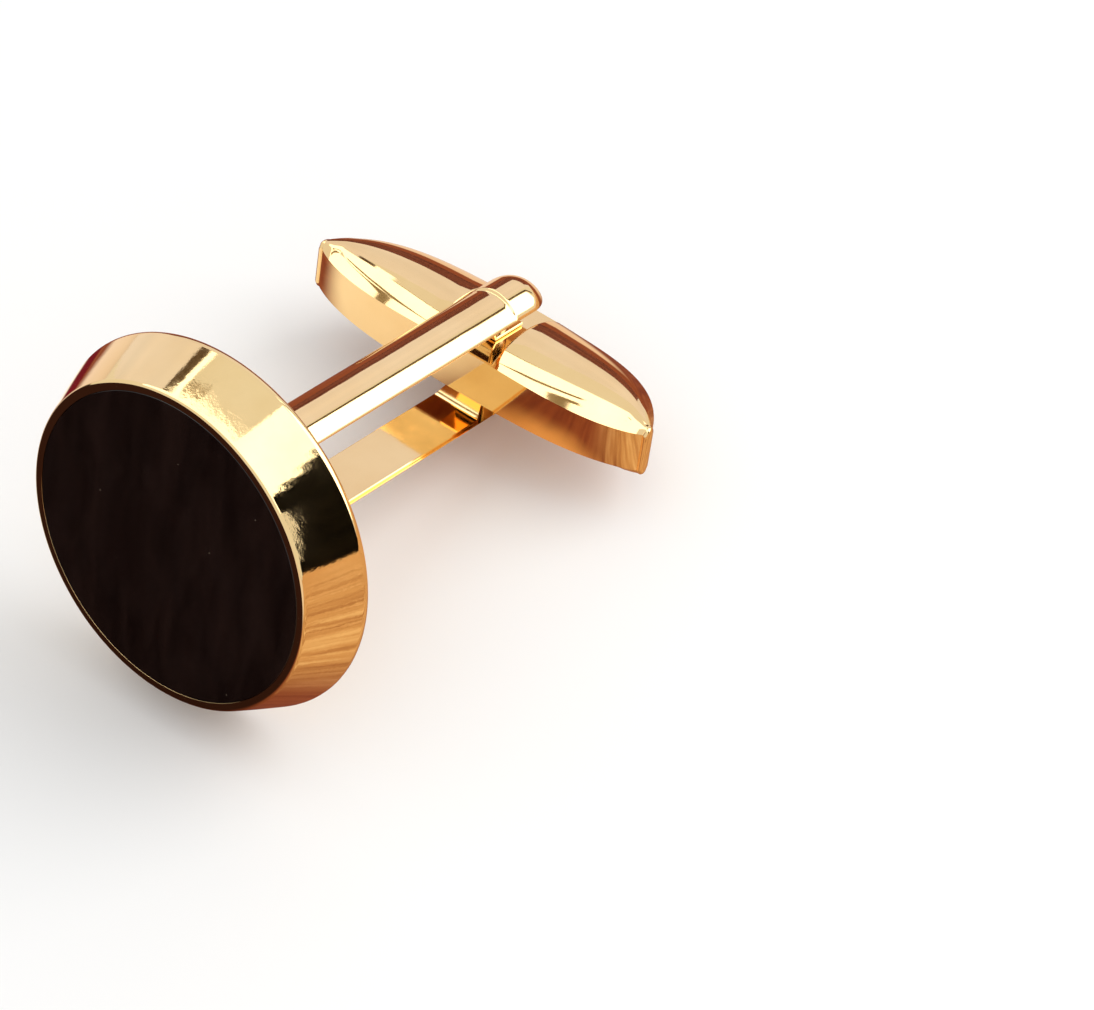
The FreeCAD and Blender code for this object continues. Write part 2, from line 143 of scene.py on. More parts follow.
def rounded(corners):
    """Closed outline with its corners rounded, and a point beside each rounding for clean shading.

    A corner is two coordinates and a radius, which is 0 for a sharp corner.
    """
    outline = []
    count = len(corners)
    for i, (u, v, radius) in enumerate(corners):
        here = Vector((u, v))
        if radius == 0:
            outline.append(here)
            continue
        before = (Vector(corners[i - 1][:2]) - here).normalized()
        after = (Vector(corners[(i + 1) % count][:2]) - here).normalized()
        half = before.angle(after) / 2
        reach = radius / math.tan(half)
        centre = here + (before + after).normalized() * radius / math.sin(half)
        start, end = here + before * reach, here + after * reach
        support = min(SUPPORT, radius)
        outline.append(start + before * support)
        first, last = start - centre, end - centre
        sweep = first.angle_signed(last)
        for k in range(ARC_STEPS + 1):
            outline.append(centre + Matrix.Rotation(-sweep * k / ARC_STEPS, 2) @ first)
        outline.append(end + after * support)
    return [(p.x, p.y) for p in outline]


def lathe(outline):
    """Points and faces of a closed outline of places along X and radii, turned about X."""
    points, faces = [], []
    rows = len(outline)
    for k in range(RING_STEPS):
        angle = TURN * k / RING_STEPS
        points += [(x, radius * math.cos(angle), radius * math.sin(angle)) for x, radius in outline]
        this, following = k * rows, (k + 1) % RING_STEPS * rows
        for i in range(rows):
            j = (i + 1) % rows
            faces.append((this + i, this + j, following + j, following + i))
    return points, faces


def loft(loops):
    """Points and faces of a skin over closed loops of equal length, capped at both ends."""
    size = len(loops[0])
    points = [p for loop in loops for p in loop]
    faces = []
    for k in range(len(loops) - 1):
        for i in range(size):
            j = (i + 1) % size
            faces.append((k * size + i, k * size + j, (k + 1) * size + j, (k + 1) * size + i))
    faces.append(tuple(reversed(range(size))))
    faces.append(tuple(range(len(points) - size, len(points))))
    return points, faces


def mix(a, b, share):
    """Number at a share of the way from a to b."""
    return a + (b - a) * share


def smooth(share):
    """Share from 0 to 1 that starts and ends gently."""
    share = min(1.0, max(0.0, share))
    return share * share * (3 - 2 * share)


# Nodes that the materials are made of

EVEN = (1, 1, 1)
NOISE_LOW, NOISE_HIGH = 0.3, 0.7
MIX_FACTOR, MIX_FIRST, MIX_SECOND, MIX_RESULT = 0, 6, 7, 2


def node_material(name):
    """New material with its shader, a function that adds nodes and one that links sockets."""
    material = bpy.data.materials.new(name)
    material.use_nodes = True
    tree = material.node_tree
    tree.nodes.clear()
    output = tree.nodes.new("ShaderNodeOutputMaterial")
    shader = tree.nodes.new("ShaderNodeBsdfPrincipled")
    tree.links.new(shader.outputs["BSDF"], output.inputs["Surface"])

    def add(kind, inputs=None, **settings):
        node = tree.nodes.new(kind)
        for key, value in settings.items():
            setattr(node, key, value)
        for key, value in (inputs or {}).items():
            if isinstance(value, bpy.types.NodeSocket):
                tree.links.new(value, node.inputs[key])
            else:
                node.inputs[key].default_value = value
        return node

    return material, shader, add, tree.links.new


def object_coordinates(add, scale):
    """The piece's own coordinates in millimetres, times a scale for each axis."""
    coordinates = add("ShaderNodeTexCoord").outputs["Object"]
    factors = [s / MM for s in scale]
    return add("ShaderNodeMapping", {"Vector": coordinates, "Scale": factors}).outputs["Vector"]


def noise(add, scale, waves=1.0, detail=3.0, roughness=0.55, distortion=0.0):
    """Noise over object millimetres: axis scales, and waves per scaled millimetre."""
    inputs = {
        "Vector": object_coordinates(add, scale),
        "Scale": waves,
        "Detail": detail,
        "Roughness": roughness,
        "Distortion": distortion,
    }
    return add("ShaderNodeTexNoise", inputs).outputs["Fac"]


def ramp(add, factor, stops):
    """Colour ramp over a factor; each stop is a place and a colour."""
    node = add("ShaderNodeValToRGB", {"Fac": factor})
    elements = node.color_ramp.elements
    while len(elements) < len(stops):
        elements.new(0.5)
    for element, (place, colour) in zip(elements, stops):
        element.position = place
        element.color = (*colour, 1)
    return node.outputs["Color"]


def two_tones(add, factor, dark, light, low=NOISE_LOW, high=NOISE_HIGH):
    """Colours from dark to light over the middle of a noise."""
    return ramp(add, factor, [(low, dark), (high, light)])


def blend_colours(add, link, factor, first, second):
    """Mixes two colours, sockets or plain ones, by a factor."""
    node = add("ShaderNodeMix", data_type="RGBA")
    for place, value in ((MIX_FACTOR, factor), (MIX_FIRST, first), (MIX_SECOND, second)):
        if isinstance(value, bpy.types.NodeSocket):
            link(value, node.inputs[place])
        else:
            node.inputs[place].default_value = value
    return node.outputs[MIX_RESULT]


def spread(add, factor, low, high):
    """Maps the middle of a noise to a range of numbers."""
    inputs = {
        "Value": factor,
        "From Min": NOISE_LOW,
        "From Max": NOISE_HIGH,
        "To Min": low,
        "To Max": high,
    }
    return add("ShaderNodeMapRange", inputs).outputs["Result"]


def soft_step(add, value, start, end):
    """Number that goes gently from 0 at the start to 1 at the end."""
    inputs = {"Value": value, "From Min": start, "From Max": end}
    return add("ShaderNodeMapRange", inputs, interpolation_type="SMOOTHSTEP").outputs["Result"]


def bump(add, height, depth, under=None):
    """Normal of a relief with a depth in millimetres, on top of another relief's normal."""
    inputs = {"Height": height, "Strength": 1.0, "Distance": depth * MM}
    if under is not None:
        inputs["Normal"] = under
    return add("ShaderNodeBump", inputs).outputs["Normal"]


# Materials of the pieces

WAVE_DEPTH = 0.012
PEEL_DEPTH = 0.0003
BEZEL_PEEL_DEPTH = 0.0022
PIN_WAVE_DEPTH = 0.004
LINE_DEPTH = 0.0002
INLAY_RELIEF = 0.0006
SPECK_SIZE = 0.045
SPECK_RARITY = 0.82
DUST_TONE = (0.11, 0.085, 0.06, 1)


def plated_metal(name, worn, bright, roughness, lines, wave_depth=WAVE_DEPTH, peel_depth=PEEL_DEPTH):
    """Polished plated metal, with a tone that changes faintly from worn to bright.

    It has hazy patches within a range of roughness, gentle waves, a fine peel, and polishing lines
    that the axis scales stretch along the piece.
    """
    material, shader, add, link = node_material(name)
    shader.inputs["Metallic"].default_value = 1.0
    tone = noise(add, EVEN, waves=0.3, detail=4.0)
    link(two_tones(add, tone, worn, bright, high=0.65), shader.inputs["Base Color"])
    haze = noise(add, EVEN, waves=1.3, detail=6.0, roughness=0.65)
    link(spread(add, haze, *roughness), shader.inputs["Roughness"])
    normal = bump(add, noise(add, EVEN, waves=0.45, detail=1.0), wave_depth)
    normal = bump(add, noise(add, EVEN, waves=3.2, roughness=0.6), peel_depth, normal)
    normal = bump(add, noise(add, lines, detail=2.0), LINE_DEPTH, normal)
    link(normal, shader.inputs["Normal"])
    return material


def black_inlay(name):
    """Polished black disc with faint cloudy streaks, hazy patches and a few dust specks."""
    material, shader, add, link = node_material(name)
    cloud = noise(add, (0.5, 1.0, 0.25), waves=0.8, detail=5.0, distortion=0.6)
    body = two_tones(add, cloud, (0.005, 0.0022, 0.0017), (0.013, 0.006, 0.0045), low=0.35)
    cells = add("ShaderNodeTexVoronoi", {"Vector": object_coordinates(add, EVEN), "Scale": 1.1})
    speck = add("ShaderNodeMath", {0: cells.outputs["Distance"], 1: SPECK_SIZE}, operation="LESS_THAN")
    chosen = add("ShaderNodeSeparateColor", {"Color": cells.outputs["Color"]})
    rare = add("ShaderNodeMath", {0: chosen.outputs["Red"], 1: SPECK_RARITY}, operation="GREATER_THAN")
    dust = add("ShaderNodeMath", {0: speck.outputs[0], 1: rare.outputs[0]}, operation="MULTIPLY")
    colour = blend_colours(add, link, dust.outputs[0], body, DUST_TONE)
    link(colour, shader.inputs["Base Color"])
    shader.inputs["Specular IOR Level"].default_value = 0.4
    haze = noise(add, (1, 1, 0.3), waves=0.9, detail=6.0, roughness=0.7)
    link(spread(add, haze, 0.12, 0.24), shader.inputs["Roughness"])
    link(bump(add, noise(add, EVEN, waves=9.0), INLAY_RELIEF), shader.inputs["Normal"])
    return material


def cured_film(name):
    """Dull bonding film."""
    material, shader, add, link = node_material(name)
    cloud = noise(add, EVEN, waves=1.5, detail=4.0)
    link(two_tones(add, cloud, (0.42, 0.37, 0.28), (0.55, 0.5, 0.4)), shader.inputs["Base Color"])
    link(spread(add, cloud, 0.5, 0.7), shader.inputs["Roughness"])
    return material


gold = plated_metal(
    "polished_gold",
    worn=(0.93, 0.655, 0.31),
    bright=(0.97, 0.71, 0.36),
    roughness=(0.035, 0.07),
    lines=(1.5, 26.0, 26.0),
)
bezel_gold = plated_metal(
    "bezel_gold",
    worn=(0.93, 0.665, 0.315),
    bright=(0.97, 0.72, 0.365),
    roughness=(0.035, 0.07),
    lines=(1.5, 26.0, 26.0),
    peel_depth=BEZEL_PEEL_DEPTH,
)
spring_gold = plated_metal(
    "spring_gold",
    worn=(0.92, 0.65, 0.31),
    bright=(0.96, 0.7, 0.35),
    roughness=(0.05, 0.1),
    lines=(1.0, 34.0, 34.0),
)
pin_metal = plated_metal(
    "pin_metal",
    worn=(0.52, 0.47, 0.39),
    bright=(0.66, 0.6, 0.5),
    roughness=(0.16, 0.3),
    lines=(24.0, 24.0, 1.5),
    wave_depth=PIN_WAVE_DEPTH,
)
inlay_black = black_inlay("inlay_black")
film = cured_film("adhesive_film")


# Face

SIDE_STEPS = 16
REAR_STEPS_LEFT_OUT = 3
LIP_STEPS_LEFT_OUT = 1


def bezel_side():
    """Points of the flared side, slightly bowed, from the rear rounding to the lip's."""
    side = []
    for k in range(REAR_STEPS_LEFT_OUT, SIDE_STEPS - LIP_STEPS_LEFT_OUT):
        share = k / SIDE_STEPS
        bow = SIDE_BOW * 4 * share * (1 - share)
        side.append((mix(DEPTH, 0, share), mix(REAR_RADIUS, LIP_RADIUS, share) + bow, 0))
    return side


def make_bezel():
    """Turned cup with a tray for the inlay in front and a seat for the back plate behind."""
    outline = rounded([
        (0, TRAY_RADIUS, LIP_INNER_ROUND),
        (TRAY_FLOOR, TRAY_RADIUS, 0),
        (TRAY_FLOOR, 0, 0),
        (FLOOR_BACK, 0, 0),
        (FLOOR_BACK, LEDGE_RADIUS, 0),
        (PLATE_FRONT, LEDGE_RADIUS, 0),
        (PLATE_FRONT, SEAT_RADIUS, 0),
        (DEPTH, SEAT_RADIUS, 0),
        (DEPTH, REAR_RADIUS, REAR_ROUND),
        *bezel_side(),
        (0, LIP_RADIUS, LIP_ROUND),
    ])
    add_piece("bezel_ring", *lathe(outline), bezel_gold, "link", "polished_gold", "bezel")


def make_inlay():
    """Disc with a fine bevel round its front edge."""
    outline = rounded([
        (0, 0, 0),
        (INLAY_THICKNESS, 0, 0),
        (INLAY_THICKNESS, INLAY_RADIUS, 0),
        (INLAY_BEVEL, INLAY_RADIUS, INLAY_EDGE_ROUND),
        (0, INLAY_RADIUS - INLAY_BEVEL, INLAY_EDGE_ROUND),
    ])
    add_piece("inlay_disc", *lathe(outline), inlay_black, "link", "black_inlay", "inlay")


# Post

SECTION_STEPS = 40
NOSE_STEPS = 32
STEP_STEPS = 8
BEND_STEPS = 8
ARM_POWER = 0.82
WEB_POWER = 0.1
END_SHARES = (0.35, 0.7, 0.95)
ARM_SHARES = (0.01, 0.15, 0.4, 0.65, 0.85, 0.93)
WEB_PLACES = (1.2, 0.6, 0.0)


def arm_section(half, height, power):
    """Half section over a flat: heights across the width."""
    section = []
    for k in range(SECTION_STEPS + 1):
        turn = math.pi * k / SECTION_STEPS
        section.append((half * math.cos(turn), height * math.sin(turn) ** (2 * power)))
    for k in range(1, SECTION_STEPS):
        section.append((-half * math.cos(math.pi * k / SECTION_STEPS), 0.0))
    return section


def arm_stations():
    """Stations of the upper arm from its nose to the middle of the web.

    Each is a place along the post and the pin, the crown's direction there, and the section's half
    width, height and power.
    """
    end_height = ARM_CROWN + END_RAISE
    step = PIVOT - END_REACH
    bend_start = WEB_BACK + BEND
    stations = []

    def add_straight(x, half, height):
        stations.append(((x, FORK_HALF_GAP), (0, 1), half, height, ARM_POWER))

    for k in range(1, NOSE_STEPS + 1):
        angle = QUARTER_TURN * (1 - k / NOSE_STEPS)
        x = END_CENTRE + ARM_HALF_WIDTH * math.sin(angle)
        height = end_height * math.cos(angle) ** (2 * ARM_POWER)
        add_straight(x, ARM_HALF_WIDTH * math.cos(angle), height)
    for share in END_SHARES:
        add_straight(mix(END_CENTRE, step + STEP_LENGTH, share), ARM_HALF_WIDTH, end_height)
    for k in range(STEP_STEPS + 1):
        share = k / STEP_STEPS
        height = end_height - END_RAISE * smooth(share)
        add_straight(step + STEP_LENGTH * (1 - share), ARM_HALF_WIDTH, height)
    for share in ARM_SHARES:
        add_straight(mix(step, bend_start, share), ARM_HALF_WIDTH, ARM_CROWN)
    for k in range(BEND_STEPS + 1):
        angle = QUARTER_TURN * k / BEND_STEPS
        place = (bend_start - BEND * math.sin(angle), FORK_HALF_GAP - BEND * (1 - math.cos(angle)))
        outward = (-math.sin(angle), math.cos(angle))
        share = smooth(k / BEND_STEPS)
        height = mix(ARM_CROWN, WEB_THICKNESS, share)
        stations.append((place, outward, ARM_HALF_WIDTH, height, mix(ARM_POWER, WEB_POWER, share)))
    for z in WEB_PLACES:
        stations.append(((WEB_BACK, z), (-1, 0), ARM_HALF_WIDTH, WEB_THICKNESS, WEB_POWER))
    return stations


def make_fork():
    """Two half-round arms and the web between them, as one skin from nose to nose."""
    upper = arm_stations()
    lower = [((x, -z), (dx, -dz), *rest) for (x, z), (dx, dz), *rest in upper[-2::-1]]
    loops = []
    for (x, z), (dx, dz), half, height, power in upper + lower:
        section = arm_section(half, height, power)
        loops.append([(x + dx * h, y, z + dz * h) for y, h in section])
    add_piece("fork_post", *loft(loops), gold, "link", "polished_gold", "fork")


# Spring

STRIP_INNER = FORK_HALF_GAP - SPRING_THICKNESS
STRIP_RISE = STRIP_INNER - PAD_INNER
BEND_SOFT = 0.04
EDGE_SOFT = 0.035
SPRING_SHARP_DEGREES = 25


def strip_half(x):
    """Half width of the strip, which tapers over the length of the lower ramp."""
    share = (x - PIVOT + RAMP_PAD_REACH + STRIP_RISE) / STRIP_RISE
    return mix(SPRING_HALF_WIDTH, PAD_HALF_WIDTH, min(1.0, max(0.0, share)))


def spring_side(pad_reach, run):
    """Outer point, inner point and half width along the strip, from one pad's end to the foot."""
    thick = SPRING_THICKNESS
    pad_start = PIVOT - pad_reach
    slope_start = pad_start - run
    shift = thick * math.tan(math.atan2(STRIP_RISE, run) / 2)
    drop = BEND_SOFT * STRIP_RISE / run
    turn_x = WEB_BACK + BEND
    line = [
        (PIVOT + PAD_REACH, PAD_INNER, 0),
        (pad_start + BEND_SOFT, PAD_INNER, shift),
        (pad_start - BEND_SOFT, PAD_INNER + drop, shift),
        (mix(pad_start, slope_start, 0.5), mix(PAD_INNER, STRIP_INNER, 0.5), shift),
        (slope_start + BEND_SOFT, STRIP_INNER - drop, shift),
        (slope_start - BEND_SOFT, STRIP_INNER, shift),
        (PIVOT - RAMP_PAD_REACH - STRIP_RISE - BEND_SOFT * 2, STRIP_INNER, 0),
        (mix(slope_start, turn_x, 0.5), STRIP_INNER, 0),
    ]
    pairs = [((x + moved, z + thick), (x, z), strip_half(x)) for x, z, moved in line]
    for k in range(BEND_STEPS + 1):
        angle = QUARTER_TURN * k / BEND_STEPS
        outer, inner = (
            (turn_x - radius * math.sin(angle), FORK_HALF_GAP - BEND + radius * math.cos(angle))
            for radius in (BEND, BEND - thick)
        )
        pairs.append((outer, inner, SPRING_HALF_WIDTH))
    pairs.append(((WEB_BACK, 0.0), (WEB_BACK + thick, 0.0), SPRING_HALF_WIDTH))
    return pairs


def make_spring():
    """U-shaped strip with softened edges: a step above and a ramp below lead to the pads."""
    upper = spring_side(PAD_REACH, STEP_RUN)
    lower = spring_side(RAMP_PAD_REACH, STRIP_RISE)
    lower = [((a, -b), (c, -d), half) for (a, b), (c, d), half in lower[-2::-1]]
    loops = []
    for outer, inner, half in upper + lower:
        across = (Vector(inner) - Vector(outer)).normalized() * EDGE_SOFT
        loop = []
        for (x, z), side, sign in ((outer, -1, 1), (outer, 1, 1), (inner, 1, -1), (inner, -1, -1)):
            corner = (x + across.x * sign, side * half, z + across.y * sign)
            level = (x, side * (half - EDGE_SOFT), z)
            loop += [corner, level] if side * sign < 0 else [level, corner]
        loops.append(loop)
    skin = loft(loops)
    add_piece(
        "spring_strip", *skin, spring_gold, "link", "spring_metal", "detent_spring", SPRING_SHARP_DEGREES
    )


# Toggle

CROWN_STEPS = 44
CHAMFER_STEPS = 3
SHOULDER_STEPS = 6
TIP_STEPS = 8
BODY_STATIONS = 56
SIDE_SHARES = (0.0, 0.5, 0.97)
NECK_SHARES = (0.0, 0.5, 1.0)
CHAMFER_DEPTH = 0.16
CHAMFER_RISE = 0.18
DEPTH_LIMIT_SHARE = 0.4
RISE_LIMIT_SHARE = 0.45
TIP_CHAMFER = 0.4
TIP_DROP = 0.18
TAPER_POWER = 4.5
TAPER_FULLNESS = 0.85
TIP_LEAD = 0.9
LEAD_POWER = 6
TIP_SHARE = 0.06
SHOULDER_ROUND = 0.12
TIP_ROUND = 0.25
TIP_TURN_SHARE = 0.85
TOGGLE_SHARP_DEGREES = 28


def toggle_section(y, half, lead, crown, flat=TOGGLE_FLAT):
    """Closed section: straight sides, a chamfer and a full crown above and below."""
    near_tip = smooth(abs(y) / TOGGLE_HALF_LENGTH)
    depth = min(CHAMFER_DEPTH + TIP_CHAMFER * near_tip, half * DEPTH_LIMIT_SHARE)
    rise = min(CHAMFER_RISE, crown * RISE_LIMIT_SHARE)
    inner = half - depth
    base = flat + rise
    side = flat - TIP_DROP * near_tip
    quarter = [(half, side * share) for share in SIDE_SHARES]
    for k in range(CHAMFER_STEPS):
        share = k / CHAMFER_STEPS
        quarter.append((mix(half, inner, share), mix(side, base, share)))
    height = crown - rise
    bow = (inner ** 2 + height ** 2) / (2 * height)
    steep = 2 * math.atan2(height, inner)
    for k in range(CROWN_STEPS + 1):
        turn = steep * (1 - k / CROWN_STEPS)
        quarter.append((bow * math.sin(turn), base + height - bow * (1 - math.cos(turn))))
    upper = quarter + [(-x, z) for x, z in reversed(quarter[:-1])]
    section = upper + [(-x, -z) for x, z in upper[1:-1]]
    return [(PIVOT - lead + x, y, z) for x, z in section]


def lowered(loop, above, below):
    """Lowers a section's upper and lower crowns, but not past the neck."""
    result = []
    for x, y, z in loop:
        if z > NECK_HALF_HEIGHT:
            z = max(NECK_HALF_HEIGHT, z - above)
        elif z < -NECK_HALF_HEIGHT:
            z = min(-NECK_HALF_HEIGHT, z + below)
        result.append((x, y, z))
    return result


def toggle_sizes(y):
    """Half width, lead in front of the pivot and crown height of the toggle at a place along it."""
    share = min(1.0, abs(y) / TOGGLE_HALF_LENGTH)
    wide = max(TIP_SHARE, (1 - share ** TAPER_POWER) ** TAPER_FULLNESS)
    return TOGGLE_HALF_WIDTH * wide, TIP_LEAD * share ** LEAD_POWER, TOGGLE_CROWN * wide


def neck_cuts():
    """Places from the middle past both shoulders, and how far the upper and lower crowns are cut there."""
    turns = [QUARTER_TURN * k / SHOULDER_STEPS for k in range(SHOULDER_STEPS + 1)]
    round_over = [(SHOULDER_ROUND * (1 - math.cos(a)), SHOULDER_ROUND * (1 - math.sin(a))) for a in turns]
    cuts = [(NECK_HALF_LENGTH * share, TOGGLE_CROWN, TOGGLE_CROWN) for share in NECK_SHARES]
    cuts += [(NECK_HALF_LENGTH + along, drop, TOGGLE_CROWN) for along, drop in round_over]
    cuts += [(LOWER_NECK_HALF_LENGTH, 0, TOGGLE_CROWN)]
    cuts += [(LOWER_NECK_HALF_LENGTH + along, 0, drop) for along, drop in round_over]
    return cuts


def make_toggle():
    """Torpedo bar with a neck, which is longer below than above, as one half and its mirror image."""
    half_loops = []
    for y, above, below in neck_cuts():
        half_loops.append(lowered(toggle_section(y, *toggle_sizes(y)), above, below))
    first = LOWER_NECK_HALF_LENGTH + SHOULDER_ROUND
    last = TOGGLE_HALF_LENGTH - TIP_ROUND
    for k in range(1, BODY_STATIONS + 1):
        y = mix(first, last, math.sin(QUARTER_TURN * k / BODY_STATIONS))
        half_loops.append(toggle_section(y, *toggle_sizes(y)))
    half, _, crown = toggle_sizes(last)
    for k in range(1, TIP_STEPS + 1):
        angle = QUARTER_TURN * k / TIP_STEPS
        flat = TOGGLE_FLAT - TIP_ROUND * (1 - math.cos(angle))
        y = last + TIP_ROUND * math.sin(angle)
        _, lead, _ = toggle_sizes(y)
        half_loops.append(toggle_section(y, half * math.cos(angle * TIP_TURN_SHARE), lead, crown, flat))
    other = [[(x, -y, z) for x, y, z in loop] for loop in half_loops[:0:-1]]
    skin = loft(other + half_loops)
    add_piece("toggle_bar", *skin, gold, "toggle", "polished_gold", "toggle", TOGGLE_SHARP_DEGREES)


make_bezel()
make_inlay()
make_fork()
make_spring()
make_toggle()

for node, material in (
    ("back_plate", gold), ("foot_rivet", pin_metal), ("hinge_pin", pin_metal), ("inlay_adhesive", film),
):
    for place in frame["nodes"][node].material_slots:
        place.material = material


# Stage: floor, cards, panels and lamp, in metres

FLOOR_SIZE = 6.0
TABLE_SIZE = 1.6
TABLE_LIFT = 0.00002
DARK_CARD_Y = -0.2
PANEL_HEIGHT = 0.4
RIM_HEIGHT = 0.398
RIM_WIDTH = 0.006
LAMP_BRIGHTNESS = 2.2
WALL_BRIGHTNESS = 1.0
WORLD_TONE = (0.86, 0.86, 0.86, 1)
MATTE_ROUGHNESS = 0.9

# Ragged dark card on the right, as places along X and heights
DARK_OUTLINE = [
    (-0.035, 0.008), (0.062, 0.005), (0.062, 0.31), (0.056, 0.272), (0.048, 0.292), (0.04, 0.25),
    (0.033, 0.265), (0.026, 0.226), (0.018, 0.242), (0.012, 0.21), (0.004, 0.218), (-0.02, 0.2),
    (-0.02, 0.165), (-0.003, 0.15), (-0.006, 0.115), (-0.011, 0.093), (-0.015, 0.072), (-0.018, 0.053),
    (-0.021, 0.034), (-0.035, 0.025),
]

# Bright panel overhead with its rim, a bar across it and a clamp, as places along X and Y; the panel glows
# but lights nothing, so it is painted light seen only in reflections
SLANTED_EDGE = [(0.058, -0.06), (0.067, 0.014), (0.077, 0.089)]
RIMMED_EDGE = [(0.09, 0.171), (0.098, 0.218), (0.11, 0.29)]
PANEL_OUTLINE = [
    (-0.225, -0.5), (0.14, -0.5), (0.14, -0.06), *SLANTED_EDGE, *RIMMED_EDGE,
    (0.16, 0.29), (0.16, 0.335), (0.118, 0.335), (0.118, 0.6), (-0.225, 0.6),
]
RIM_OUTLINE = RIMMED_EDGE + [(x + RIM_WIDTH, y) for x, y in reversed(RIMMED_EDGE)]
BAR_OUTLINE = [(-0.06, 0.08), (-0.036, 0.08), (-0.036, 0.55), (-0.06, 0.55)]
CLAMP_OUTLINE = [(0.118, 0.335), (0.16, 0.335), (0.175, 0.41), (0.126, 0.41)]

# Tones of the table that only reflections show, with their limits in millimetres: painted light on the
# right, painted shade elsewhere, and spots of painted light and shade
STREAK_SCALE = (0.05, 0.7, 1)
# Painted shade and painted light: the same red-brown wood, darker where it stands for shade and lighter
# where it stands for light
PAINTED_SHADE_TONES = ((0.15, 0.035, 0.03), (0.36, 0.12, 0.06))
PAINTED_LIGHT_STOPS = [(0.34, (0.3, 0.12, 0.055)), (0.5, (0.62, 0.36, 0.18)), (0.64, (0.84, 0.6, 0.37))]
PAINTED_LIGHT_LIMITS = (-6.0, -13.0)
FAR_LEAN = -1.2
FAR_LIMITS = (32.0, 42.0)
FAR_TONE = (0.86, 0.76, 0.74, 1)
FRONT_LIMITS = (-11.0, -15.0)
FRONT_SIDE_LIMITS = (-8.0, -2.0)
FRONT_TONE = (0.03, 0.012, 0.01, 1)
SPOT_CORE_SHARE = 0.6
# Tan spot of painted light on the table behind the toggle
LOW_PAINTED_LIGHT_SPOT = ((25.0, 9.0, 0.0), 12.0, (0.8, 0.62, 0.5, 1))
# Spots laid over all the rest: painted light and painted shade
TOP_PAINTED_LIGHT_AND_SHADE_SPOTS = (
    # Pale pool of painted light
    ((-4.0, 13.5, 0.0), 12.5, (1.0, 0.93, 0.85, 1)),
    # Orange patch of painted shadow: the table under the post
    ((5.0, -3.0, 0.0), 8.0, (0.82, 0.46, 0.2, 1)),
    # Deep red spot of painted shade that darkens the shade further
    ((-1.0, 29.0, 0.0), 8.0, (0.16, 0.012, 0.02, 1)),
)


def stage_plane(name, width, height, matrix, material):
    """Rectangle at a matrix, in its XY plane."""
    mesh = bpy.data.meshes.new(name)
    a, b = width / 2, height / 2
    mesh.from_pydata([(-a, -b, 0), (a, -b, 0), (a, b, 0), (-a, b, 0)], [], [(0, 1, 2, 3)])
    mesh.materials.append(material)
    plane = bpy.data.objects.new(name, mesh)
    plane.matrix_world = matrix
    bpy.context.collection.objects.link(plane)
    return plane


def facing(azimuth, elevation, distance):
    """Matrix of a thing at a direction from the object, with its -Z towards the object."""
    a, e = math.radians(azimuth), math.radians(elevation)
    away = Vector((math.cos(a) * math.cos(e), math.sin(a) * math.cos(e), math.sin(e)))
    return Matrix.Translation(away * distance) @ away.to_track_quat("Z", "Y").to_matrix().to_4x4()


def only_reflected(plane):
    """Leaves a thing to reflections alone."""
    plane.visible_camera = False
    plane.visible_diffuse = False
    plane.visible_shadow = False
    plane.visible_transmission = False


def stage_card(name, corners, material):
    """Flat card with the given corners, seen only in reflections."""
    mesh = bpy.data.meshes.new(name)
    mesh.from_pydata(corners, [], [tuple(range(len(corners)))])
    mesh.materials.append(material)
    card = bpy.data.objects.new(name, mesh)
    bpy.context.collection.objects.link(card)
    only_reflected(card)


def matte(name, dark, light, scale, detail, specular):
    """Dull, slightly cloudy surface of a floor or a card."""
    material, shader, add, link = node_material(name)
    grain = noise(add, scale, detail=detail)
    link(two_tones(add, grain, dark, light), shader.inputs["Base Color"])
    shader.inputs["Roughness"].default_value = MATTE_ROUGHNESS
    shader.inputs["Specular IOR Level"].default_value = specular
    return material


def felt(name, dark, light):
    """Dull card without any gloss."""
    return matte(name, dark, light, scale=(0.05, 0.05, 0.05), detail=5.0, specular=0.0)


def glow(name, dim, bright, strength):
    """Panel that glows evenly, a little cloudy: painted light for cards that only reflections show."""
    material, shader, add, link = node_material(name)
    cloud = noise(add, (0.004, 0.004, 0.004), detail=2.0)
    link(two_tones(add, cloud, dim, bright), shader.inputs["Emission Color"])
    shader.inputs["Emission Strength"].default_value = strength
    shader.inputs["Base Color"].default_value = (0, 0, 0, 1)
    return material


def table_spot(add, link, tone, spot, centre, radius, colour):
    """Lays a soft round spot of another colour over the table's tone; the spots paint light and shade."""
    reach = add("ShaderNodeVectorMath", {0: spot, 1: centre}, operation="DISTANCE")
    inside = soft_step(add, reach.outputs["Value"], radius, radius * SPOT_CORE_SHARE)
    return blend_colours(add, link, inside, tone, colour)


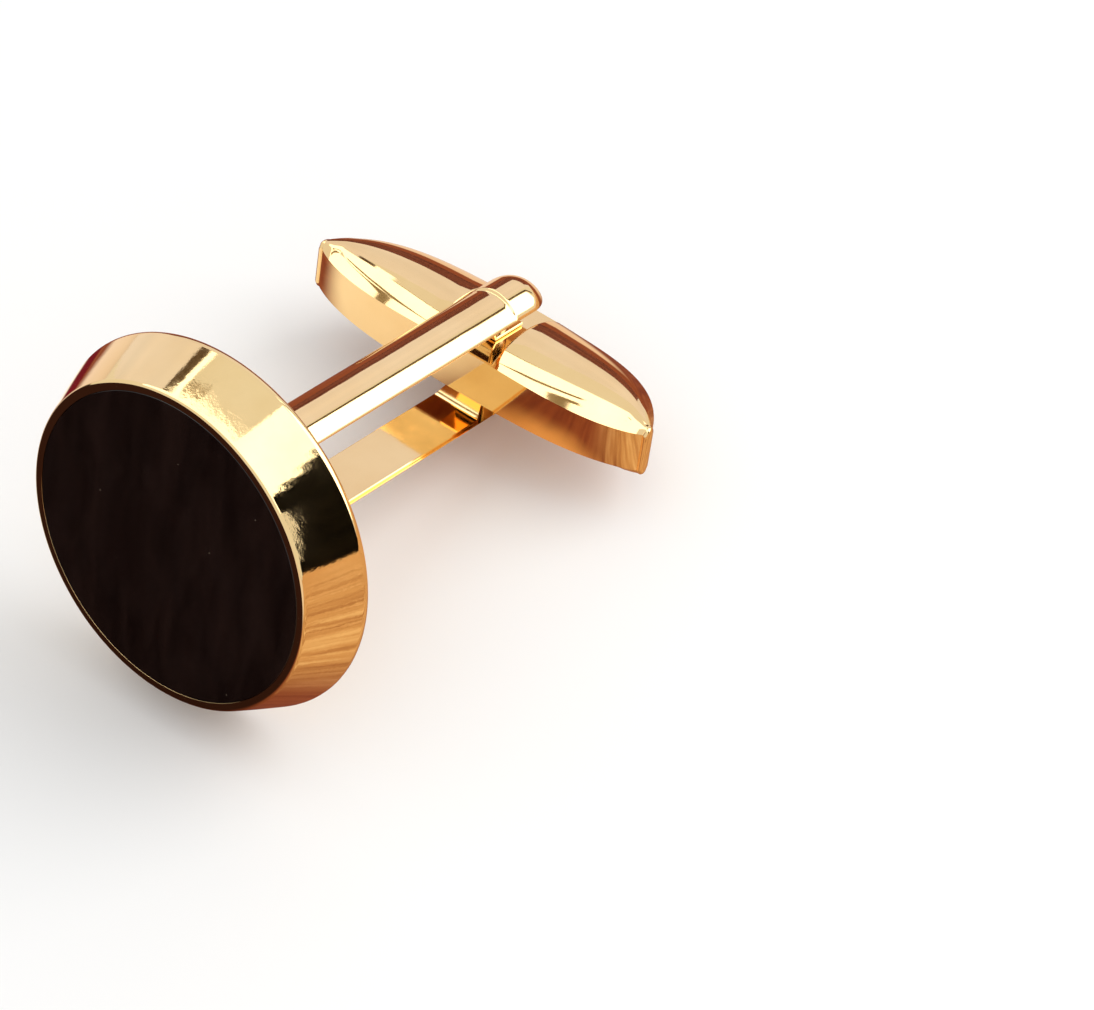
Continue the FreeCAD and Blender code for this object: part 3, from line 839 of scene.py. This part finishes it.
def table_material():
    """Streaky red-brown table: painted light on the right, painted shade elsewhere, pale far to the left,
    dark in front, with spots of painted light and shade.
    """
    material, shader, add, link = node_material("table_painted_light_and_shade")
    streaks = noise(add, STREAK_SCALE, detail=6.0, roughness=0.7, distortion=0.6)
    # Painted shade and painted light tones of the one wood, mixed by place
    shade = two_tones(add, streaks, *PAINTED_SHADE_TONES)
    lit = ramp(add, streaks, PAINTED_LIGHT_STOPS)
    spot = object_coordinates(add, EVEN)
    place = add("ShaderNodeSeparateXYZ", {"Vector": spot})
    x, y = place.outputs["X"], place.outputs["Y"]
    tone = blend_colours(add, link, soft_step(add, y, *PAINTED_LIGHT_LIMITS), shade, lit)
    tone = table_spot(add, link, tone, spot, *LOW_PAINTED_LIGHT_SPOT)
    leftward = add("ShaderNodeMath", {0: x, 1: FAR_LEAN, 2: y}, operation="MULTIPLY_ADD")
    far = soft_step(add, leftward.outputs["Value"], *FAR_LIMITS)
    tone = blend_colours(add, link, far, tone, FAR_TONE)
    inputs = {0: soft_step(add, x, *FRONT_LIMITS), 1: soft_step(add, y, *FRONT_SIDE_LIMITS)}
    front = add("ShaderNodeMath", inputs, operation="MULTIPLY")
    tone = blend_colours(add, link, front.outputs["Value"], tone, FRONT_TONE)
    for centre, radius, colour in TOP_PAINTED_LIGHT_AND_SHADE_SPOTS:
        tone = table_spot(add, link, tone, spot, centre, radius, colour)
    link(tone, shader.inputs["Base Color"])
    shader.inputs["Specular IOR Level"].default_value = 0.0
    shader.inputs["Roughness"].default_value = 0.8
    return material


def add_lamp(name, azimuth, elevation, distance, width, height, radiance):
    """Soft box whose face shows the given brightness."""
    light = bpy.data.lights.new(name, "AREA")
    light.shape = "RECTANGLE"
    light.size, light.size_y = width, height
    light.energy = radiance * math.pi * width * height
    lamp = bpy.data.objects.new(name, light)
    lamp.matrix_world = facing(azimuth, elevation, distance)
    bpy.context.collection.objects.link(lamp)
    lamp.visible_camera = False


pale_floor = matte(
    "pale_floor",
    dark=(0.9, 0.895, 0.885),
    light=(0.92, 0.915, 0.905),
    scale=(0.02, 0.02, 0.02),
    detail=2.0,
    specular=0.1,
)
red_card = matte(
    "back_card",
    dark=(0.1, 0.022, 0.02),
    light=(0.24, 0.07, 0.05),
    scale=(0.02, 0.05, 0.05),
    detail=4.0,
    specular=0.5,
)
black_felt = felt("black_felt", (0.002, 0.0017, 0.0015), (0.011, 0.009, 0.007))
brown_rim = felt("brown_rim", (0.06, 0.04, 0.025), (0.2, 0.14, 0.09))
tan_rim = felt("tan_rim", (0.28, 0.22, 0.14), (0.42, 0.34, 0.23))
wall_glow = glow("wall_glow", (0.8, 0.79, 0.9), (0.9, 0.88, 1.0), WALL_BRIGHTNESS)
white_glow = glow("white_glow", (0.97, 0.97, 0.97), (1.0, 1.0, 1.0), LAMP_BRIGHTNESS)

stage_plane("floor", FLOOR_SIZE, FLOOR_SIZE, Matrix.Identity(4), pale_floor)
table_place = Matrix.Translation((0, 0, TABLE_LIFT))
only_reflected(stage_plane("table_painted_light_and_shade", TABLE_SIZE, TABLE_SIZE, table_place, table_material()))
stage_card("dark_card", [(x, DARK_CARD_Y, z) for x, z in DARK_OUTLINE], black_felt)

# Name, width, height, azimuth and elevation in degrees, distance and material
for name, width, height, azimuth, elevation, distance, material in (
    ("back_card", 0.34, 0.11, 33, 8, 0.35, red_card),
    # Glowing wall that lights nothing: painted light seen only in reflections
    ("glowing_wall", 0.95, 0.55, 38, 24, 0.62, wall_glow),
    ("lamp_rim", 0.035, 0.5, -13, 33, 0.52, brown_rim),
):
    only_reflected(stage_plane(name, width, height, facing(azimuth, elevation, distance), material))

for name, outline, height, material in (
    # Glowing panel that lights nothing: painted highlights in reflections
    ("main_panel", PANEL_OUTLINE, PANEL_HEIGHT, white_glow),
    ("panel_rim", RIM_OUTLINE, RIM_HEIGHT, tan_rim),
    ("panel_bar", BAR_OUTLINE, RIM_HEIGHT, tan_rim),
    ("panel_clamp", CLAMP_OUTLINE, RIM_HEIGHT, brown_rim),
):
    stage_card(name, [(x, y, height) for x, y in outline], material)

add_lamp(
    "soft_box", azimuth=-44, elevation=35, distance=0.55, width=0.48, height=0.58, radiance=LAMP_BRIGHTNESS
)

world = bpy.data.worlds.new("studio")
bpy.context.scene.world = world
world.use_nodes = True
world.node_tree.nodes["Background"].inputs["Color"].default_value = WORLD_TONE


# Camera at the photograph's viewing angle: its axes and place in build axes and millimetres

FOCAL_PIXELS = 4750.0
PHOTO_WIDTH = 1094.0
SENSOR = 36.0
CLIP_START = 0.01
CAMERA_RIGHT = (0.6243, -0.7711, 0.125)
CAMERA_UP = (0.4114, 0.4605, 0.7865)
CAMERA_PLACE = (-126.725, -103.209, 129.128)


def add_camera():
    """Camera that sees the object as the photograph does."""
    data = bpy.data.cameras.new("camera")
    data.sensor_fit = "HORIZONTAL"
    data.sensor_width = SENSOR
    data.lens = SENSOR * FOCAL_PIXELS / PHOTO_WIDTH
    data.clip_start = CLIP_START
    camera = bpy.data.objects.new("camera", data)
    turn = LAID.to_3x3() * (1 / MM)
    right, up = turn @ Vector(CAMERA_RIGHT), turn @ Vector(CAMERA_UP)
    back = right.cross(up).normalized()
    up = back.cross(right).normalized()
    right = up.cross(back)
    camera.matrix_world = Matrix((right, up, back)).transposed().to_4x4()
    camera.matrix_world.translation = LAID @ Vector(CAMERA_PLACE)
    bpy.context.collection.objects.link(camera)
    bpy.context.scene.camera = camera


add_camera()

bpy.context.scene.view_settings.view_transform = "Standard"
